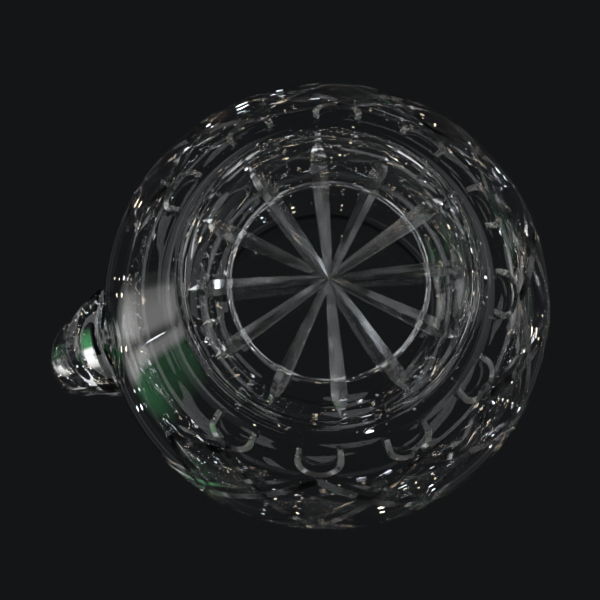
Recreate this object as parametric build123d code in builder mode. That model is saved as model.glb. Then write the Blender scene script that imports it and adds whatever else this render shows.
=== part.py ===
import os
from math import atan2, cos, degrees, exp, radians, sin, sqrt, tan

from build123d import *

os.makedirs("parts", exist_ok=True)

# A cut crystal pitcher: a blown and cut vessel, and a handle of the same glass laid on hot.
# Millimetres, Z up, origin in the middle of the flat that it stands on.
# The handle is on the -X side and the pouring lip on the +X side.

# Vessel: the wall leaves the foot at foot_lean degrees from upright
belly_radius = 70.0
belly_height = 64.0
foot_lean = 30.0
heel_round = 3.0
neck_radius = 45.0
neck_height = 140.0
mouth_radius = 49.0
wall = 5.0
base_thickness = 12.0
floor_corner = 24.0

# Rim and pouring lip: the lip is pulled out of the ring, and pinched in on each side of it
neck_length = 44.0
lip_rise = 14.0
lip_pull = 24.0
lip_curl = 2.3
lip_half_angle = 24.0
lip_pinch = 2.2
pinch_turn = 52.0
pinch_half_angle = 20.0
rim_bevel = 1.2
mouth_sections = 5
section_points = 20

# Star under the base
star_rays = 12
star_turn = 4.0
ray_width = 5.6
ray_depth = 2.2
star_wheel = 16.0

# Mitre cuts round the belly: planar cuts that lean both ways and cross in six rows
motifs = 12
cut_motifs = 10
first_motif = 222.0
mitre_lean = 49.3
mitre_width = 3.2
mitre_depth = 1.3
mitre_sweep = 75.0
leg_spread = 5.5
leg_foot = 5.0

# Handle: grip_from, grip_to and pad_at are shares of its length, and pad_tip a share of the pad
handle_width = 18.0
handle_thickness = 12.0
handle_reach = 22.0
root_rise = 25.0
root_width = 25.0
root_thickness = 16.0
grip_from = 0.27
grip_to = 0.55
pad_at = 0.9
pad_tip = 0.65
pad_width = 33.0
pad_thickness = 21.0
pad_height = 64.0
pad_drop = 12.0
root_gap = 0.05

# Outline of the vessel, worked out in radius and height
overcut = 1.0
motif_step = 360 / motifs
neck_rise = neck_height - belly_height
shoulder_arc = (neck_radius**2 + neck_rise**2 - belly_radius**2) / (2 * (belly_radius - neck_radius))
shoulder_centre = (neck_radius + shoulder_arc, neck_height)
shoulder_angle = atan2(neck_rise, neck_radius + shoulder_arc)

# The belly is a ball, and the wall comes up to it from the base as a cone that touches it
belly_centre = (0, belly_height)
cone_angle = radians(-foot_lean)
base_radius = (belly_radius + belly_height * sin(cone_angle)) / cos(cone_angle)
star_radius = base_radius - heel_round


def on_circle(centre, radius, angle):
    return (centre[0] + radius * cos(angle), centre[1] + radius * sin(angle))


def belly_r(z):
    """Radius of the outside between the base and the shoulder."""
    cone_top = on_circle(belly_centre, belly_radius, cone_angle)
    if z < cone_top[1]:
        return base_radius + (cone_top[0] - base_radius) * z / cone_top[1]
    return sqrt(belly_radius**2 - (z - belly_height) ** 2)


def upper_outline(inset, start_angle):
    """Belly and shoulder as two arcs up to the neck, moved in by the wall for the inside."""
    start = on_circle(belly_centre, belly_radius - inset, start_angle)
    middle = on_circle(belly_centre, belly_radius - inset, (start_angle + shoulder_angle) / 2)
    shoulder = on_circle(belly_centre, belly_radius - inset, shoulder_angle)
    ThreePointArc(start, middle, shoulder)
    facing = radians(180) + shoulder_angle
    bend = on_circle(shoulder_centre, shoulder_arc + inset, (facing + radians(180)) / 2)
    neck = (neck_radius - inset, neck_height)
    ThreePointArc(shoulder, bend, neck)
    return start, neck


# The outside up to the neck, which also trims the foot of the handle
with BuildPart() as blank:
    with BuildSketch(Plane.XZ) as blank_half:
        with BuildLine():
            start, neck = upper_outline(0, cone_angle)
            Polyline(start, (base_radius, 0), (0, 0), (0, neck_height), neck)
        make_face()
        fillet(blank_half.vertices().group_by(Axis.Y)[0].sort_by(Axis.X)[-1], heel_round)
    revolve(axis=Axis.Z)

# The hollow: a flat floor, a round corner that meets the ball, then the outline moved in by the wall
to_centre = belly_radius - wall - floor_corner
corner_height = base_thickness + floor_corner
floor_radius = sqrt(to_centre**2 - (belly_height - corner_height) ** 2)
corner_centre = (floor_radius, corner_height)
corner_angle = atan2(corner_height - belly_height, floor_radius)

with BuildPart() as hollow:
    with BuildSketch(Plane.XZ):
        with BuildLine():
            start, neck = upper_outline(wall, corner_angle)
            corner_middle = on_circle(corner_centre, floor_corner, (corner_angle - radians(90)) / 2)
            ThreePointArc(start, corner_middle, (floor_radius, base_thickness))
            Polyline((floor_radius, base_thickness), (0, base_thickness), (0, neck_height), neck)
        make_face()
    revolve(axis=Axis.Z)

# The mouth: rings that flare from the neck, tip up to the front and are pulled out into the lip
rim_height = neck_height + neck_length
lip_height = rim_height + lip_rise
flare = mouth_radius - neck_radius
flare_arc = (flare**2 + (lip_height - neck_height) ** 2) / (2 * flare)
lip_reach = mouth_radius + lip_pull
rim_slope = lip_rise / (lip_reach + mouth_radius)


def flare_r(level):
    """Radius of the unpulled ring at a level above the neck."""
    return neck_radius + flare_arc - sqrt(flare_arc**2 - (level - neck_height) ** 2)


def mouth_section(level, inset):
    """One ring of the mouth; its points start behind and go round in equal turns."""
    if level == neck_height:
        behind = Plane(origin=(0, 0, level), x_dir=(-1, 0, 0), z_dir=(0, 0, 1))
        return Face(Wire(Edge.make_circle(neck_radius - inset, behind)))
    share = (level - neck_height) / neck_length
    lift = share**lip_curl
    points = []
    for i in range(section_points):
        turn = 360 * i / section_points - 180
        pull = (lip_reach - flare_r(rim_height)) * exp(-((turn / lip_half_angle) ** 2))
        pinch = lip_pinch * exp(-(((abs(turn) - pinch_turn) / pinch_half_angle) ** 2))
        r = flare_r(level) - inset + (pull - pinch) * lift
        x = r * cos(radians(turn))
        y = r * sin(radians(turn))
        points.append((x, y, level + share * (x + mouth_radius) * rim_slope))
    with BuildLine() as ring:
        Spline(*points, periodic=True)
    return Face(Wire(ring.edges()))


def mouth_form(inset, over):
    """The mouth as a solid; the inner one goes on over the rim by one more ring."""
    levels = [neck_height + neck_length * i / (mouth_sections - 1) for i in range(mouth_sections)]
    if over:
        levels.append(rim_height + over)
    with BuildPart() as form:
        loft([mouth_section(level, inset) for level in levels])
    return form.part


with BuildPart() as mouth:
    add(mouth_form(0, 0))
    add(mouth_form(wall, 2 * overcut), mode=Mode.SUBTRACT)
    chamfer(mouth.faces().sort_by(Axis.Z)[-1].edges(), rim_bevel)

# The lattice cuts lean both ways; each lies in a plane through the axis at belly height
lean = radians(mitre_lean)
spread = mitre_width / 2 * (mitre_depth + overcut) / mitre_depth


def lattice_height(turn):
    """Height at which a leaning cut has turned that far round from its middle."""
    slope = tan(lean) * sin(radians(turn))
    rise = 0.0
    for _ in range(40):
        rise = slope * belly_r(belly_height + rise)
    return belly_height + rise


def around_vessel(turn, height):
    """A point on the outside of the belly."""
    angle = radians(turn)
    return Vector(belly_r(height) * cos(angle), belly_r(height) * sin(angle), height)


half_sweep = mitre_sweep / 2


def arc_turn(turn):
    """Angle along the cut's own circle for a turn about the vessel's axis."""
    return degrees(atan2(tan(radians(turn)), cos(lean)))


def mitre(middle, side, begin, end):
    """The V ring of one cut, from one turn past its middle to another."""
    with BuildPart() as ring:
        with BuildSketch(Plane.XZ):
            with BuildLine():
                Polyline(
                    (belly_radius - mitre_depth, 0),
                    (belly_radius + overcut, spread),
                    (belly_radius + overcut, -spread),
                    close=True,
                )
            make_face()
        revolve(axis=Axis.Z, revolution_arc=arc_turn(end) - arc_turn(begin))
    outward = Vector(cos(radians(middle)), sin(radians(middle)), 0)
    around = Vector(-outward.Y, outward.X, 0) * side
    along = around * cos(lean) + Vector(0, 0, sin(lean))
    frame = Plane(
        origin=(0, 0, belly_height),
        x_dir=outward,
        z_dir=outward.cross(along),
    )
    return ring.part.rotate(Axis.Z, arc_turn(begin)).moved(frame.location)


def leg(turn, foot_turn):
    """The straight V cut from a bottom crossing down to the heel."""
    start = around_vessel(turn, lattice_height(-half_sweep))
    foot = around_vessel(foot_turn, leg_foot)
    level = Vector(cos(radians(turn)), sin(radians(turn)), 0)
    normal = level * cos(cone_angle) + Vector(0, 0, sin(cone_angle))
    down = foot - start
    side_dir = down.cross(normal)
    with BuildPart() as cut:
        with BuildSketch(Plane(origin=start, x_dir=side_dir.cross(down), z_dir=down)):
            with BuildLine():
                Polyline((-mitre_depth, 0), (overcut, spread), (overcut, -spread), close=True)
            make_face()
        extrude(amount=down.length)
    return cut.part


# The pattern keeps to whole motifs, so the field behind the handle stays plain
pattern_from = first_motif - motif_step / 2
pattern_to = pattern_from + cut_motifs * motif_step
lattice_cuts = []
for k in range(-3, cut_motifs + 3):
    crossing = first_motif + k * motif_step
    rising = (max(crossing, pattern_from), min(crossing + mitre_sweep, pattern_to))
    if rising[1] > rising[0]:
        middle = crossing + half_sweep
        lattice_cuts.append(mitre(middle, 1, rising[0] - middle, rising[1] - middle))
    falling = (max(crossing - mitre_sweep, pattern_from), min(crossing, pattern_to))
    if falling[1] > falling[0]:
        middle = crossing - half_sweep
        lattice_cuts.append(mitre(middle, -1, middle - falling[1], middle - falling[0]))
for k in range(cut_motifs):
    crossing = first_motif + k * motif_step
    lattice_cuts.append(leg(crossing, crossing - leg_spread))
    lattice_cuts.append(leg(crossing, crossing + leg_spread))

# One ray of the star: a level V cut that the wheel leaves in a pointed tip
run_out = sqrt(star_wheel**2 - (star_wheel - ray_depth) ** 2)
ray_level = star_radius - run_out
ray_spread = ray_width / 2 * (ray_depth + overcut) / ray_depth

with BuildPart() as star_ray:
    with BuildSketch(Plane.YZ) as vee:
        with BuildLine():
            Polyline((0, ray_depth), (ray_spread, -overcut), (-ray_spread, -overcut), close=True)
        make_face()
    extrude(amount=ray_level)
    with BuildSketch(Plane.YZ.offset(ray_level)):
        add(vee.sketch_local)
    revolve(axis=Axis((ray_level, 0, ray_depth - star_wheel), (0, 1, 0)), revolution_arc=90)

# The wall is cut before the mouth goes on, because the cuts stay below the neck
with BuildPart() as body:
    add(blank.part)
    add(hollow.part, mode=Mode.SUBTRACT)
    with PolarLocations(0, star_rays, start_angle=star_turn):
        add(star_ray.part, mode=Mode.SUBTRACT)
    for cut in lattice_cuts:
        add(cut, mode=Mode.SUBTRACT)
    add(mouth.part)

body.part.label = "body"
export_step(body.part, "parts/body.step")

# The neck behind the lip, as a plain round flare that trims the root of the handle a hair clear of it
flare_middle = (neck_height + lip_height) / 2
with BuildPart() as neck_blank:
    with BuildSketch(Plane.XZ):
        with BuildLine():
            low = (neck_radius + root_gap, neck_height)
            top = (mouth_radius + root_gap, lip_height)
            ThreePointArc(low, (flare_r(flare_middle) + root_gap, flare_middle), top)
            Polyline(top, (0, lip_height), (0, neck_height), low)
        make_face()
    revolve(axis=Axis.Z)

# The handle: oval sections along one curve, cut back to the outside of the vessel
grip_out = belly_radius + handle_reach - handle_thickness / 2
root_height = neck_height + root_rise
with BuildLine() as spine:
    Spline(
        (-(neck_radius - wall / 2), 0, root_height),
        (-grip_out, 0, (root_height + pad_height) / 2 + handle_thickness),
        (-belly_radius, 0, pad_height),
        (-(belly_r(pad_height - pad_drop) - wall), 0, pad_height - pad_drop),
        tangents=((-1, 0, 0.45), (0.55, 0, -1)),
    )

with BuildPart() as handle:
    for place, width, thickness in (
        (0.0, root_width, root_thickness),
        (grip_from, handle_width, handle_thickness),
        (grip_to, handle_width, handle_thickness),
        (pad_at, pad_width, pad_thickness),
        (1.0, pad_width * pad_tip, pad_thickness * pad_tip),
    ):
        with BuildSketch(Plane(origin=spine.line @ place, x_dir=(0, 1, 0), z_dir=spine.line % place)):
            Ellipse(width / 2, thickness / 2)
    loft()
    add(blank.part, mode=Mode.SUBTRACT)
    add(neck_blank.part, mode=Mode.SUBTRACT)

handle.part.label = "handle"
export_step(handle.part, "parts/handle.step")
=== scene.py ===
import math
import random

import bmesh
import bpy
import numpy as np
from mathutils import Matrix, Vector


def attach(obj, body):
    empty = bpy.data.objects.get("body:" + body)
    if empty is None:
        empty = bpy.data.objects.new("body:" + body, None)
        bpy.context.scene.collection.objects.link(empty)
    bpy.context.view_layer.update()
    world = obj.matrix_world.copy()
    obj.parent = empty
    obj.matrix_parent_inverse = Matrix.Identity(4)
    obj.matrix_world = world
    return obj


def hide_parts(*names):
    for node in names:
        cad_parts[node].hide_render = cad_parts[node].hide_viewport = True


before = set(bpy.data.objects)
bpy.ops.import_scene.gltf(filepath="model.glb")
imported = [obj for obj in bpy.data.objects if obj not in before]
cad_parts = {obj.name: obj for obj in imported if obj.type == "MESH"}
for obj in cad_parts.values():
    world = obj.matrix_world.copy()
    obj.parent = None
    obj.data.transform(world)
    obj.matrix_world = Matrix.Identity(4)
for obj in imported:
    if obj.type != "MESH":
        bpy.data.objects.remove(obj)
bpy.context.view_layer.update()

mm = 0.001


# Socket arithmetic for the materials
class Socket:
    def __init__(self, shader, socket):
        self.shader = shader
        self.socket = socket

    def both(self, other, operation, swap=False):
        first, second = (other, self) if swap else (self, other)
        node = self.shader.node("ShaderNodeMath", {"operation": operation}, i0=first, i1=second)
        return self.shader.out(node)

    def __sub__(self, other):
        return self.both(other, "SUBTRACT")

    def __rsub__(self, other):
        return self.both(other, "SUBTRACT", True)

    def __mul__(self, other):
        return self.both(other, "MULTIPLY")

    def __rmul__(self, other):
        return self.both(other, "MULTIPLY", True)

    def __truediv__(self, other):
        return self.both(other, "DIVIDE")

    def __rtruediv__(self, other):
        return self.both(other, "DIVIDE", True)

    def above(self, other):
        return self.both(other, "GREATER_THAN")

    def largest(self, other):
        return self.both(other, "MAXIMUM")

    def size(self):
        return self.both(0.0, "ABSOLUTE")

    def ramp(self, begin, end):
        rise = (self - begin) / (end - begin)
        return rise.both(0.0, "MAXIMUM").both(1.0, "MINIMUM")

    def dot(self, way):
        node = self.shader.node("ShaderNodeVectorMath", {"operation": "DOT_PRODUCT"}, i0=self, i1=way)
        return self.shader.out(node, "Value")


class Shader:
    def __init__(self, tree):
        self.tree = tree
        tree.nodes.clear()

    def node(self, kind, settings=None, **values):
        node = self.tree.nodes.new(kind)
        for key, value in (settings or {}).items():
            setattr(node, key, value)
        for key, value in values.items():
            # Base_Color is the socket Base Color, and i0 is the first socket
            if key[0] == "i" and key[1:].isdigit():
                socket = node.inputs[int(key[1:])]
            else:
                socket = node.inputs[key.replace("_", " ")]
            if isinstance(value, Socket):
                self.tree.links.new(value.socket, socket)
            else:
                socket.default_value = value
        return node

    def out(self, node, name=0):
        return Socket(self, node.outputs[name])

    def noise(self, place, scale, detail):
        return self.out(self.node("ShaderNodeTexNoise", Vector=place, Scale=scale, Detail=detail), "Fac")

    def background(self, colour):
        return self.out(self.node("ShaderNodeBackground", Color=colour))

    def blended(self, factor, first, second):
        return self.out(self.node("ShaderNodeMixShader", i0=factor, i1=first, i2=second))


def newMaterial(name):
    material = bpy.data.materials.new(name)
    material.use_nodes = True
    return material, Shader(material.node_tree)


def crystal(name, look):
    material, shader = newMaterial(name)
    place = shader.out(shader.node("ShaderNodeTexCoord"), "Object")
    waves = shader.noise(place, look["waveScale"], look["waveDetail"])
    relief = {"Strength": look["waveStrength"], "Distance": look["waveHeight"], "Height": waves}
    bump = shader.out(shader.node("ShaderNodeBump", **relief))
    haze = shader.noise(place, look["hazeScale"], look["hazeDetail"])
    glass = shader.node(
        "ShaderNodeBsdfPrincipled",
        Base_Color=look["colour"],
        Roughness=haze * look["haze"],
        IOR=look["ior"],
        Transmission_Weight=1.0,
        Normal=bump,
    )
    shader.node("ShaderNodeOutputMaterial", Surface=shader.out(glass))
    return material


glassLook = {
    "colour": (0.985, 0.992, 0.992, 1.0),
    "ior": 1.545,
    "waveScale": 30.0,
    "waveDetail": 1.0,
    "waveStrength": 0.1,
    "waveHeight": 0.0004,
    "hazeScale": 140.0,
    "hazeDetail": 3.0,
    "haze": 0.02,
}
drawnLook = dict(glassLook, waveScale=22.0, waveStrength=0.4)
# what the wheels leave: half satin mitres, crisp crosshatch, a satin star and the softest arches
grooveLook = dict(glassLook, waveScale=160.0, waveStrength=0.3, waveHeight=0.0002, haze=0.38)
hatchLook = dict(grooveLook, waveStrength=0.5, haze=0.02)
starLook = dict(grooveLook, haze=0.3)
archLook = dict(grooveLook, haze=0.55)
cutCrystal = crystal("cut_crystal", glassLook)
grooveCrystal = crystal("groove_crystal", grooveLook)
hatchCrystal = crystal("hatch_crystal", hatchLook)
starCrystal = crystal("star_crystal", starLook)
archCrystal = crystal("arch_crystal", archLook)
drawnCrystal = crystal("drawn_crystal", drawnLook)


# The glass vessel, in millimetres
vessel = {
    "bellyRadius": 70.0,
    "bellyHeight": 64.0,
    "footLean": 30.0,
    "heelRound": 3.0,
    "neckRadius": 45.0,
    "neckHeight": 140.0,
    "mouthRadius": 49.0,
    "wall": 5.0,
    "baseThickness": 12.0,
    "floorCorner": 24.0,
    "ringWidth": 1.6,
    "ringHeight": 0.9,
    "ringSteps": 12,
    "footLine": 0.9,
    "footDepth": 0.4,
    "footInset": 1.2,
    "heelStep": 0.6,
    "rimBack": 184.0,
    "rimFront": 198.0,
    "lipReach": 73.0,
    "rimInset": 0.1,
    "lipCurl": 2.3,
    "lipHalfAngle": 24.0,
    "pinch": 2.2,
    "pinchTurn": 52.0,
    "pinchHalfAngle": 20.0,
    "around": 252,
    "step": 1.9,
    "beadSteps": 8,
    "creaseDegrees": 16,
}


def polar(centre, radius, angle):
    return (centre[0] + radius * math.cos(angle), centre[1] + radius * math.sin(angle))


def arcPoints(centre, radius, begin, end, step):
    count = max(2, int(abs(end - begin) * radius / step) + 1)
    return [polar(centre, radius, begin + (end - begin) * i / count) for i in range(count + 1)]


def linePoints(start, end, step):
    count = max(1, int(math.dist(start, end) / step))
    return [tuple(a + (b - a) * i / count for a, b in zip(start, end)) for i in range(count + 1)]


def outlineFacts(v):
    bellyCentre = (0.0, v["bellyHeight"])
    rise = v["neckHeight"] - v["bellyHeight"]
    squares = v["neckRadius"] ** 2 + rise**2 - v["bellyRadius"] ** 2
    shoulder = squares / (2 * (v["bellyRadius"] - v["neckRadius"]))
    coneAngle = math.radians(-v["footLean"])
    toCorner = v["bellyRadius"] - v["wall"] - v["floorCorner"]
    cornerDrop = v["bellyHeight"] - v["baseThickness"] - v["floorCorner"]
    flare = v["mouthRadius"] - v["neckRadius"]
    flareArc = (flare**2 + (v["rimFront"] - v["neckHeight"]) ** 2) / (2 * flare)
    backRise = v["rimBack"] - v["neckHeight"]
    return {
        "bellyCentre": bellyCentre,
        "shoulderArc": shoulder,
        "shoulderCentre": (v["neckRadius"] + shoulder, v["neckHeight"]),
        "shoulderAngle": math.atan2(rise, v["neckRadius"] + shoulder),
        "coneAngle": coneAngle,
        "baseRadius": v["bellyRadius"] / math.cos(coneAngle) + v["bellyHeight"] * math.tan(coneAngle),
        "floorRadius": math.sqrt(toCorner**2 - cornerDrop**2),
        "coneTop": polar(bellyCentre, v["bellyRadius"], coneAngle),
        "flareCentre": (v["neckRadius"] + flareArc, v["neckHeight"]),
        "flareArc": flareArc,
        "flareTurn": math.asin(backRise / flareArc),
        "rimR": v["neckRadius"] + flareArc - math.sqrt(flareArc**2 - backRise**2),
    }


facts = outlineFacts(vessel)


def bellyR(z):
    top = facts["coneTop"]
    if z < top[1]:
        return facts["baseRadius"] + (top[0] - facts["baseRadius"]) * z / top[1]
    return math.sqrt(vessel["bellyRadius"] ** 2 - (z - vessel["bellyHeight"]) ** 2)


def upperWall(inset, begin, step):
    f = facts
    arc = arcPoints(f["bellyCentre"], vessel["bellyRadius"] - inset, begin, f["shoulderAngle"], step)
    facing = math.pi + f["shoulderAngle"]
    arc += arcPoints(f["shoulderCentre"], f["shoulderArc"] + inset, facing, math.pi, step)[1:]
    turn = f["flareTurn"]
    arc += arcPoints(f["flareCentre"], f["flareArc"] + inset, math.pi, math.pi - turn, step)[1:]
    return arc


def fineRing(start, width, height, level):
    # a swell of glass, or a line cut into it, as a run of the outline
    steps = vessel["ringSteps"]
    swell = [(1 - math.cos(2 * math.pi * i / steps)) / 2 for i in range(steps + 1)]
    return [(start + width * i / steps, level + height * share) for i, share in enumerate(swell)]


def outsideWall(step):
    v = vessel
    coneTop = facts["coneTop"]
    lean = math.atan2(coneTop[1], coneTop[0] - facts["baseRadius"])
    flatEnd = (facts["baseRadius"] - v["heelRound"] * math.tan(lean / 2), 0.0)
    roundCentre = (flatEnd[0], v["heelRound"])
    heel = arcPoints(roundCentre, v["heelRound"], -math.pi / 2, -math.pi / 2 + lean, v["heelStep"])
    grooveStart = flatEnd[0] - v["footLine"] * v["footInset"]
    points = linePoints((0.0, 0.0), (grooveStart, 0.0), step)[:-1]
    points += fineRing(grooveStart, v["footLine"], v["footDepth"], 0.0) + heel
    points += linePoints(heel[-1], coneTop, step)[1:-1]
    return points + upperWall(0, facts["coneAngle"], step)


def insideWall(step):
    # a flat floor with a fine raised ring at its edge, then a round corner that meets the ball
    v = vessel
    floorRadius = facts["floorRadius"]
    centre = (floorRadius, v["baseThickness"] + v["floorCorner"])
    angle = math.atan2(centre[1] - v["bellyHeight"], floorRadius)
    ringStart = floorRadius - v["ringWidth"]
    points = linePoints((0.0, v["baseThickness"]), (ringStart, v["baseThickness"]), step)[:-1]
    points += fineRing(ringStart, v["ringWidth"], v["ringHeight"], v["baseThickness"])
    points += arcPoints(centre, v["floorCorner"], -math.pi / 2, angle, step)[1:-1]
    return points + upperWall(v["wall"], angle, step)


def rimBead(outer, inner):
    half, steps = vessel["wall"] / 2, vessel["beadSteps"]
    middle = ((outer[0] + inner[0]) / 2, outer[1])
    return [polar(middle, half, math.pi * i / steps) for i in range(1, steps)]


def pulled(points, around):
    # every ring goes round with the lip pulled out and the rim tipped up to it
    v = vessel
    turns = np.linspace(0, 2 * np.pi, around, endpoint=False)
    r = np.array([p[0] for p in points])[:, None]
    z = np.array([p[1] for p in points])[:, None]
    away = np.degrees(np.abs((turns + np.pi) % (2 * np.pi) - np.pi))[None, :]
    climb = np.clip((z - v["neckHeight"]) / (v["rimBack"] + v["wall"] / 2 - v["neckHeight"]), 0, 1)
    lift = climb ** v["lipCurl"]
    lipPull = v["lipReach"] - facts["rimR"] - v["rimInset"]
    pull = lipPull * lift * np.exp(-((away / v["lipHalfAngle"]) ** 2))
    nip = v["pinch"] * lift * np.exp(-(((away - v["pinchTurn"]) / v["pinchHalfAngle"]) ** 2))
    reach = r + pull - nip
    x, y = reach * np.cos(turns), reach * np.sin(turns)
    slope = (v["rimFront"] - v["rimBack"]) / (v["lipReach"] + v["mouthRadius"])
    share = np.clip((z - v["neckHeight"]) / (v["rimBack"] - v["neckHeight"]), 0, None)
    height = z + np.minimum(share, 1.0) * ((x + v["mouthRadius"]) * slope - v["wall"] / 2)
    return np.stack([x, y, height + 0 * x], axis=2)


def meshObject(name, verts, faces):
    mesh = bpy.data.meshes.new(name)
    mesh.from_pydata([tuple(p) for p in np.asarray(verts, float) * mm], [], faces)
    mesh.update()
    piece = bpy.data.objects.new(name, mesh)
    bpy.context.scene.collection.objects.link(piece)
    return piece


def turned(name, rings, first, last):
    # rings of points, closed by one point on the axis at each end
    count, around = rings.shape[:2]
    verts = [(0.0, 0.0, first)] + rings.reshape(-1, 3).tolist() + [(0.0, 0.0, last)]
    faces = []
    for j in range(around):
        k = (j + 1) % around
        faces.append((0, 1 + k, 1 + j))
        faces.append((len(verts) - 1, 1 + (count - 1) * around + j, 1 + (count - 1) * around + k))
        for i in range(count - 1):
            low, high = 1 + i * around, 1 + (i + 1) * around
            faces.append((low + j, low + k, high + k, high + j))
    return meshObject(name, verts, faces)


outer = outsideWall(vessel["step"])
inner = insideWall(vessel["step"])
bead = rimBead(outer[-1], inner[-1])
whole = outer + bead + inner[::-1]
body = turned("cut_vessel", pulled(whole[1:-1], vessel["around"]), whole[0][1], whole[-1][1])
body.data.materials.append(cutCrystal)
print("vessel turned", len(body.data.polygons))

# The cuts, all V shaped: the wheel's angle is width over depth
cuts = {
    "motifStep": 30.0,
    "motifCount": 10,
    "firstMotif": 222.0,
    "lean": 49.3,
    "sweep": 75.0,
    "turnStep": 2.5,
    "fewestSteps": 4,
    "rounds": 40,
    "motifsPast": 3,
    "handDepth": (0.94, 1.06),
    "width": 3.2,
    "depth": 1.3,
    "legSpread": 7.0,
    "legFoot": 9.0,
    "legDrop": 3.0,
    "legBow": 0.55,
    "legFade": 0.35,
    "legSteps": 24,
    "legWidth": 2.4,
    "legDepth": 0.8,
    "hatchLines": 12,
    "hatchDepth": 0.7,
    "hatchWidth": 2.0,
    "hatchMargin": 1.2,
    "hatchSteps": 6,
    "starRays": 12,
    "starTurn": 4.0,
    "rayWidth": 5.2,
    "rayDepth": 2.1,
    "rayHeart": 0.38,
    "raySwell": 0.8,
    "rayStops": (0.0, 0.25, 0.5, 0.75, 1.0),
    "rayEndSteps": 8,
    "handReach": (0.98, 1.01),
    "handRay": (0.82, 1.06),
    "wheel": 16.0,
    "over": 1.0,
    "seed": 7,
}
lean = math.radians(cuts["lean"])


def latticeHeight(turn):
    # where the leaning plane of a cut meets the belly, found by going round until it settles
    slope = math.tan(lean) * math.sin(math.radians(turn))
    rise = 0.0
    for _ in range(cuts["rounds"]):
        rise = slope * bellyR(vessel["bellyHeight"] + rise)
    return vessel["bellyHeight"] + rise


def onBelly(turn, z):
    angle = math.radians(turn)
    r = bellyR(z)
    return Vector((r * math.cos(angle), r * math.sin(angle), z))


def bellyNormal(turn, z):
    angle = math.radians(turn)
    up = (z - vessel["bellyHeight"]) / vessel["bellyRadius"]
    up = max(up, math.sin(facts["coneAngle"]))
    out = math.sqrt(1 - up * up)
    return Vector((out * math.cos(angle), out * math.sin(angle), up))


def grooveParts(path, wheel, verts, faces):
    # path holds (point, normal, depth); wheel is half width for one of depth
    base, over = len(verts), cuts["over"]
    for i, (point, normal, depth) in enumerate(path):
        ahead = path[min(i + 1, len(path) - 1)][0] - path[max(i - 1, 0)][0]
        across = ahead.cross(normal).normalized() * wheel * (depth + over)
        above = point + normal * over
        verts += [point - normal * depth, above + across, above - across]
    last = base + 3 * (len(path) - 1)
    faces.append((base, base + 1, base + 2))
    faces.append((last + 2, last + 1, last))
    for i in range(base, last, 3):
        for a, b in ((0, 1), (1, 2), (2, 0)):
            faces.append((i + a, i + 3 + a, i + 3 + b, i + b))


def cutterObject(name, paths, wheel, glass):
    verts, faces = [], []
    for path in paths:
        grooveParts(path, wheel, verts, faces)
    cutter = meshObject(name, verts, faces)
    cutter.data.materials.append(glass)
    return cutter


def leaningPath(middle, side, begin, end, depth, steps):
    path = []
    for i in range(steps + 1):
        turn = begin + (end - begin) * i / steps
        z = latticeHeight(turn)
        azimuth = middle + side * turn
        path.append((onBelly(azimuth, z), bellyNormal(azimuth, z), depth))
    return path


def latticePaths(side, jitter):
    half = cuts["sweep"] / 2
    low = cuts["firstMotif"] - cuts["motifStep"] / 2
    high = low + cuts["motifCount"] * cuts["motifStep"]
    paths = []
    for k in range(-cuts["motifsPast"], cuts["motifCount"] + cuts["motifsPast"]):
        crossing = cuts["firstMotif"] + k * cuts["motifStep"]
        ends = sorted((crossing, crossing + side * cuts["sweep"]))
        begin, end = max(ends[0], low), min(ends[1], high)
        if end <= begin:
            continue
        middle = crossing + side * half
        first, last = sorted((side * (begin - middle), side * (end - middle)))
        depth = cuts["depth"] * jitter.uniform(*cuts["handDepth"])
        steps = max(cuts["fewestSteps"], int((last - first) / cuts["turnStep"]))
        paths.append(leaningPath(middle, side, first, last, depth, steps))
    return paths


def legPaths(side):
    top = latticeHeight(-cuts["sweep"] / 2) - cuts["legDrop"]
    paths = []
    for k in range(cuts["motifCount"]):
        crossing = cuts["firstMotif"] + k * cuts["motifStep"]
        path = []
        for i in range(cuts["legSteps"] + 1):
            share = (i / cuts["legSteps"]) ** 2
            z = top + (cuts["legFoot"] - top) * share
            bow = min(1.0, share / cuts["legBow"])
            turn = crossing + side * cuts["legSpread"] * math.sqrt(1 - (1 - bow) ** 2)
            depth = cuts["legDepth"] * (1 - cuts["legFade"] * share)
            path.append((onBelly(turn, z), bellyNormal(turn, z), depth))
        paths.append(path)
    return paths


def hatchPaths(side):
    # fine lines beside each mitre, from edge to edge of the diamonds over the bottom crossings
    paths = []
    span, lines = cuts["motifStep"], cuts["hatchLines"]
    quarter, margin = span / 4, cuts["hatchMargin"] / 2
    for k in range(cuts["motifCount"]):
        centre = cuts["firstMotif"] + k * span
        for j in range(1, lines):
            offset = span * j / lines
            middle = centre - side * (3 * quarter - offset)
            low = (side * (centre - middle) - quarter) / 2
            begin, end = low + margin, low + 2 * quarter - margin
            paths.append(leaningPath(middle, side, begin, end, cuts["hatchDepth"], cuts["hatchSteps"]))
    return paths


def starPath(turn, jitter):
    angle = math.radians(turn)
    run = math.sqrt(cuts["wheel"] ** 2 - (cuts["wheel"] - cuts["rayDepth"]) ** 2)
    radius = (facts["baseRadius"] - vessel["heelRound"]) * jitter.uniform(*cuts["handReach"])
    depth = cuts["rayDepth"] * jitter.uniform(*cuts["handRay"])
    level = radius - run
    stops = []
    for share in cuts["rayStops"]:
        grown = cuts["rayHeart"] + (1 - cuts["rayHeart"]) * share ** cuts["raySwell"]
        stops.append((level * share, depth * grown))
    for i in range(1, cuts["rayEndSteps"] + 1):
        out = run * i / cuts["rayEndSteps"]
        lifted = cuts["wheel"] - math.sqrt(cuts["wheel"] ** 2 - out**2)
        stops.append((level + out, max(0.0, depth - lifted)))
    down = Vector((0, 0, -1))
    return [(Vector((r * math.cos(angle), r * math.sin(angle), 0)), down, d) for r, d in stops]


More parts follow.
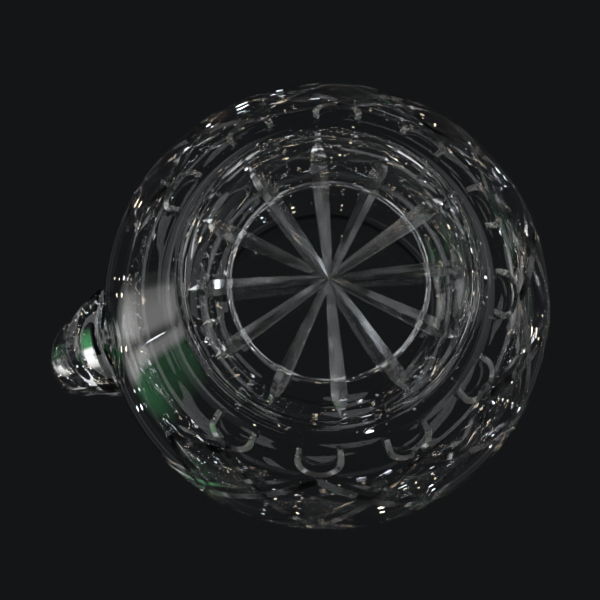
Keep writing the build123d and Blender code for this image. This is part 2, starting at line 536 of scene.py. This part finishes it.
def carve(piece, cutter):
    change = piece.modifiers.new("cut", "BOOLEAN")
    change.operation = "DIFFERENCE"
    change.solver = "MANIFOLD"
    change.material_mode = "TRANSFER"
    change.object = cutter
    graph = bpy.context.evaluated_depsgraph_get()
    fresh = bpy.data.meshes.new_from_object(piece.evaluated_get(graph))
    piece.modifiers.remove(change)
    old = piece.data
    piece.data = fresh
    bpy.data.meshes.remove(old)
    used = cutter.data
    bpy.data.objects.remove(cutter)
    bpy.data.meshes.remove(used)


def markEdges(piece, degreesSharp):
    # smooth blown glass, with every cut's edge kept crisp
    shape = bmesh.new()
    shape.from_mesh(piece.data)
    bmesh.ops.recalc_face_normals(shape, faces=shape.faces)
    limit = math.radians(degreesSharp)
    for face in shape.faces:
        face.smooth = True
    for edge in shape.edges:
        edge.smooth = edge.is_manifold and edge.calc_face_angle(0.0) < limit
    shape.to_mesh(piece.data)
    shape.free()
    piece.data.update()


hand = random.Random(cuts["seed"])
mitreWheel = cuts["width"] / 2 / cuts["depth"]
legWheel = cuts["legWidth"] / 2 / cuts["legDepth"]
hatchWheel = cuts["hatchWidth"] / 2 / cuts["hatchDepth"]
rayWheel = cuts["rayWidth"] / 2 / cuts["rayDepth"]

carve(body, cutterObject("rising_cuts", latticePaths(1, hand), mitreWheel, grooveCrystal))
carve(body, cutterObject("falling_cuts", latticePaths(-1, hand), mitreWheel, grooveCrystal))
carve(body, cutterObject("left_legs", legPaths(-1), legWheel, archCrystal))
carve(body, cutterObject("right_legs", legPaths(1), legWheel, archCrystal))
print("lattice cut", len(body.data.polygons))
for k in range(cuts["starRays"]):
    turn = cuts["starTurn"] + k * 360 / cuts["starRays"]
    carve(body, cutterObject("star_cut", [starPath(turn, hand)], rayWheel, starCrystal))
print("star cut", len(body.data.polygons))
carve(body, cutterObject("rising_hatch", hatchPaths(1), hatchWheel, hatchCrystal))
carve(body, cutterObject("falling_hatch", hatchPaths(-1), hatchWheel, hatchCrystal))
print("diamonds hatched", len(body.data.polygons))
markEdges(body, vessel["creaseDegrees"])

# The handle: a gather of glass drawn out along one curve and pressed on below
grip = {
    "width": 18.0,
    "thickness": 12.0,
    "reach": 90.8,
    "top": 165.0,
    "rootWidth": 25.0,
    "rootThickness": 16.0,
    "padWidth": 33.0,
    "padThickness": 21.0,
    "padHeight": 64.0,
    "padDrop": 12.0,
    "gap": 0.06,
    "seatStep": 3.0,
    "seatAround": 180,
    "startWay": (-1, 0, 0.45),
    "endWay": (0.55, 0, -1),
    "stops": (0.0, 0.12, 0.27, 0.55, 0.72, 0.9, 1.0),
    "tipWidth": 0.7,
    "tipThickness": 0.6,
    "pointStops": (0.0, 0.6, 0.88, 1.0),
    "point": 0.7,
    "along": 110,
    "around": 64,
    "creaseDegrees": 32,
}


def clampedCurve(points, startWay, endWay, count):
    # the smooth curve through a few points with its two end directions
    points = np.array(points, float)
    knots = np.concatenate([[0.0], np.cumsum(np.linalg.norm(np.diff(points, axis=0), axis=1))])
    n = len(points)
    gaps = np.diff(knots)
    matrix = np.eye(n)
    right = np.zeros((n, 3))
    right[0] = np.array(startWay) / np.linalg.norm(startWay)
    right[-1] = np.array(endWay) / np.linalg.norm(endWay)
    for i in range(1, n - 1):
        a, b = gaps[i - 1], gaps[i]
        matrix[i, i - 1], matrix[i, i], matrix[i, i + 1] = b, 2 * (a + b), a
        right[i] = 3 * (b * (points[i] - points[i - 1]) / a + a * (points[i + 1] - points[i]) / b)
    ways = np.linalg.solve(matrix, right)
    places = np.linspace(0, knots[-1], count)
    out = []
    for s in places:
        i = min(n - 2, int(np.searchsorted(knots, s, side="right")) - 1)
        h = gaps[i]
        t = (s - knots[i]) / h
        out.append(
            points[i] * (2 * t**3 - 3 * t**2 + 1)
            + ways[i] * h * (t**3 - 2 * t**2 + t)
            + points[i + 1] * (-2 * t**3 + 3 * t**2)
            + ways[i + 1] * h * (t**3 - t**2)
        )
    return np.array(out)


def smoothBlend(places, values, count):
    s = np.linspace(0, 1, count)
    out = np.zeros(count)
    for i in range(len(places) - 1):
        t = np.clip((s - places[i]) / (places[i + 1] - places[i]), 0, 1)
        part = values[i] + (values[i + 1] - values[i]) * t * t * (3 - 2 * t)
        out = np.where((s >= places[i]) & (s <= places[i + 1]), part, out)
    return out


def sweptHandle(name):
    g = grip
    lowR = bellyR(g["padHeight"] - g["padDrop"]) - vessel["wall"]
    middle = (g["top"] + g["padHeight"]) / 2 + g["thickness"]
    spine = clampedCurve(
        [
            (-(vessel["neckRadius"] - vessel["wall"] / 2), 0, g["top"]),
            (-(g["reach"] - g["thickness"] / 2), 0, middle),
            (-vessel["bellyRadius"], 0, g["padHeight"]),
            (-lowR, 0, g["padHeight"] - g["padDrop"]),
        ],
        g["startWay"],
        g["endWay"],
        g["along"],
    )
    count = len(spine)
    widths = [g["rootWidth"], (g["rootWidth"] + g["width"]) / 2, g["width"], g["width"]]
    widths += [(g["width"] * 2 + g["padWidth"]) / 3, g["padWidth"], g["padWidth"] * g["tipWidth"]]
    depths = [g["rootThickness"], (g["rootThickness"] + g["thickness"]) / 2, g["thickness"], g["thickness"]]
    depths.append((g["thickness"] * 2 + g["padThickness"]) / 3)
    depths += [g["padThickness"], g["padThickness"] * g["tipThickness"]]
    width = smoothBlend(g["stops"], widths, count)
    depth = smoothBlend(g["stops"], depths, count)
    point = smoothBlend(g["pointStops"], [0.0, 0.0, g["point"], g["point"]], count)
    verts, faces = [], []
    around = g["around"]
    for i in range(count):
        way = spine[min(i + 1, count - 1)] - spine[max(i - 1, 0)]
        way /= np.linalg.norm(way)
        out = np.array([way[2], 0.0, -way[0]])
        for j in range(around):
            angle = 2 * math.pi * j / around
            lens = math.cos(angle) * abs(math.cos(angle)) ** point[i]
            side = np.array([0, math.sin(angle) * width[i] / 2, 0])
            verts.append(spine[i] + out * lens * depth[i] / 2 + side)
    for i in range(count - 1):
        for j in range(around):
            k = (j + 1) % around
            low, high = i * around, (i + 1) * around
            faces.append((low + j, low + k, high + k, high + j))
    faces.append(tuple(range(around - 1, -1, -1)))
    faces.append(tuple(range((count - 1) * around, count * around)))
    return meshObject(name, verts, faces)


def outsideBlank(name, gap):
    # the plain outside of the vessel, filled solid and grown by the gap
    points = outsideWall(grip["seatStep"])
    grown = np.array([(r + gap, z) for r, z in points[1:]])
    turns = np.linspace(0, 2 * np.pi, grip["seatAround"], endpoint=False)
    r, z = grown[:, :1], grown[:, 1:]
    rings = np.stack([r * np.cos(turns), r * np.sin(turns), z + 0 * turns], axis=2)
    return turned(name, rings, points[0][1], points[-1][1])


handle = sweptHandle("drawn_handle")
handle.data.materials.append(drawnCrystal)
seat = outsideBlank("handle_seat", grip["gap"])
seat.data.materials.append(drawnCrystal)
carve(handle, seat)
markEdges(handle, grip["creaseDegrees"])
print("handle drawn", len(handle.data.polygons))


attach(body, "root")
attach(handle, "root")
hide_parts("body")
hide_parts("handle")

# The photograph looks straight up at the base from about 0.7 m below it
view = {
    "distance": 0.69,
    "fieldDegrees": 14.29,
    "tiltDegrees": 7.5,
    "rollDegrees": 9.0,
    "right": 8.36 * mm,
    "up": 6.34 * mm,
    "clipStart": 10 * mm,
}
roll, tilt = math.radians(view["rollDegrees"]), math.radians(view["tiltDegrees"])
right = Vector((math.cos(roll), math.sin(roll), 0))
level = Vector((math.sin(roll), -math.cos(roll), 0))
ahead = Vector((0, 0, 1)) * math.cos(tilt) + level * math.sin(tilt)
upward = level * math.cos(tilt) - Vector((0, 0, 1)) * math.sin(tilt)

# Stage: a pale floor that is clear from underneath, a belt of wall, and a dark room above and below.
# The floor's sizes are in millimetres, and the edges and shares in the room are cosines and noise levels
stage = {
    "floorSize": 3000.0,
    "floorDrop": 0.4,
    "floorColour": (0.72, 0.72, 0.71, 1.0),
    "wallColour": (1.0, 1.02, 1.05, 1.0),
    "dimColour": (0.15, 0.153, 0.16, 1.0),
    "dimEdge": 0.35,
    "brightEdge": 0.8,
    "ceilingColour": (0.007, 0.0075, 0.008, 1.0),
    "coveColour": (0.045, 0.046, 0.049, 1.0),
    "darkColour": (0.008, 0.0083, 0.009, 1.0),
    "warmColour": (14.0, 11.5, 8.4, 1.0),
    "coolColour": (13.0, 13.8, 15.0, 1.0),
    "roomColour": (0.012, 0.012, 0.013, 1.0),
    "windowColour": (0.85, 0.88, 0.9, 1.0),
    "wallTop": 0.15,
    "coveFoot": 0.91,
    "coveTop": 0.945,
    "coveInner": 0.1,
    "coveOuter": 0.38,
    "wallFoot": 0.04,
    "plainDetail": 0.0,
    "windowScale": 3.2,
    "windowShare": 0.62,
    "glintScale": 28.0,
    "glintShare": 0.825,
    "glintLow": 0.05,
    "warmShare": 0.5,
    "lowFrom": 0.3,
    "lowTo": 0.6,
    "glowColour": (1.2, 1.2, 1.18, 1.0),
    "glowGreen": (0.08, 0.31, 0.13, 1.0),
    "glowScale": 7.0,
    "glowDetail": 1.0,
    "cloudFrom": 0.3,
    "cloudTo": 0.5,
    "greenFrom": 0.25,
    "greenTo": 0.3,
    "glowWay": (-0.87, 0.02, 0.49),
    "glowEdge": 0.93,
    "glowHeart": 0.985,
}
half, drop = stage["floorSize"] / 2, -stage["floorDrop"]
corners = [(-half, -half, drop), (half, -half, drop), (half, half, drop), (-half, half, drop)]
floor = meshObject("floor", corners, [(0, 1, 2, 3)])
material, shader = newMaterial("pale_floor")
# seen only from above, and by light that hasn't come through it from underneath
under = shader.out(shader.node("ShaderNodeNewGeometry"), "Backfacing")
passed = shader.out(shader.node("ShaderNodeLightPath"), "Transparent Depth")
pale = shader.out(shader.node("ShaderNodeBsdfDiffuse", Color=stage["floorColour"]))
clear = shader.out(shader.node("ShaderNodeBsdfTransparent"))
mixed = shader.blended(under.largest(passed.above(0.0)), pale, clear)
shader.node("ShaderNodeOutputMaterial", Surface=mixed)
floor.data.materials.append(material)


def roomSky(shader):
    direction = shader.out(shader.node("ShaderNodeTexCoord"), "Generated")
    height = shader.out(shader.node("ShaderNodeSeparateXYZ", Vector=direction), "Z")
    patches = shader.noise(direction, stage["windowScale"], stage["plainDetail"])

    def plain(name):
        return shader.background(stage[name])

    # pale windows in a dark room below, and a narrow belt of wall that is palest at both sides
    window = patches.above(stage["windowShare"])
    room = shader.blended(window, plain("roomColour"), plain("windowColour"))
    across = direction.dot(right).size().ramp(stage["dimEdge"], stage["brightEdge"])
    belt = shader.blended(across, plain("dimColour"), plain("wallColour"))
    walls = shader.blended(height.above(stage["wallFoot"]), room, belt)
    # above the belt it is dark, with fine warm and cool glints
    glints = shader.noise(direction, stage["glintScale"], stage["plainDetail"])
    warm = patches.above(stage["warmShare"])
    tint = shader.blended(warm, plain("coolColour"), plain("warmColour"))
    rare = stage["glintShare"] - stage["glintLow"] * (1 - height.ramp(stage["lowFrom"], stage["lowTo"]))
    lit = shader.blended(glints.above(rare), plain("darkColour"), tint)
    upper = shader.blended(height.above(stage["wallTop"]), walls, lit)
    sideways = direction.dot(right).size().ramp(stage["coveInner"], stage["coveOuter"])
    soft = shader.blended(sideways, plain("ceilingColour"), plain("coveColour"))
    # a clouded patch of light beyond the handle, green in the lower part of the picture
    glow = direction.dot(stage["glowWay"]).ramp(stage["glowEdge"], stage["glowHeart"])
    cloud = shader.noise(direction, stage["glowScale"], stage["glowDetail"])
    cloud = cloud.ramp(stage["cloudFrom"], stage["cloudTo"])
    lower = (0.0 - direction.dot(upward)).ramp(stage["greenFrom"], stage["greenTo"])
    shine = shader.blended(lower, plain("glowColour"), plain("glowGreen"))
    upper = shader.blended(glow * cloud, upper, shine)
    cove = shader.blended(height.above(stage["coveFoot"]), upper, soft)
    return shader.blended(height.above(stage["coveTop"]), cove, plain("ceilingColour"))


world = bpy.data.worlds.new("room")
world.use_nodes = True
bpy.context.scene.world = world
shader = Shader(world.node_tree)
shader.node("ShaderNodeOutputWorld", Surface=roomSky(shader))


lamps = {
    "aim": (0, 0, 0.08),
    "key_lamp": dict(place=(-1.1, -0.05, 0.66), size=(0.8, 0.5), watts=5.0, colour=(0.97, 0.98, 1.0)),
    "fill_lamp": dict(place=(0.75, -0.8, 1.6), size=(0.9, 0.7), watts=12.0, colour=(1.0, 0.98, 0.95)),
}


def softLamp(name):
    # lights the floor and what is seen straight, and leaves no patch in the glass
    lamp = lamps[name]
    data = bpy.data.lights.new(name, "AREA")
    data.shape = "RECTANGLE"
    data.size, data.size_y = lamp["size"]
    data.energy = lamp["watts"]
    data.color = lamp["colour"]
    piece = bpy.data.objects.new(name, data)
    bpy.context.scene.collection.objects.link(piece)
    piece.location = lamp["place"]
    toward = Vector(lamps["aim"]) - Vector(lamp["place"])
    piece.rotation_euler = toward.to_track_quat("-Z", "Y").to_euler()
    piece.visible_transmission = False
    piece.visible_glossy = False


softLamp("key_lamp")
softLamp("fill_lamp")
print("stage lit")

# The camera
cameraData = bpy.data.cameras.new("camera")
cameraData.sensor_fit = "HORIZONTAL"
cameraData.angle = math.radians(view["fieldDegrees"])
cameraData.clip_start = view["clipStart"]
camera = bpy.data.objects.new("camera", cameraData)
bpy.context.scene.collection.objects.link(camera)
turnMatrix = Matrix((right, upward, -ahead)).transposed().to_4x4()
place = -(ahead * view["distance"] + right * view["right"] + upward * view["up"])
camera.matrix_world = Matrix.Translation(place) @ turnMatrix
bpy.context.scene.camera = camera
bpy.context.scene.view_settings.view_transform = "Standard"
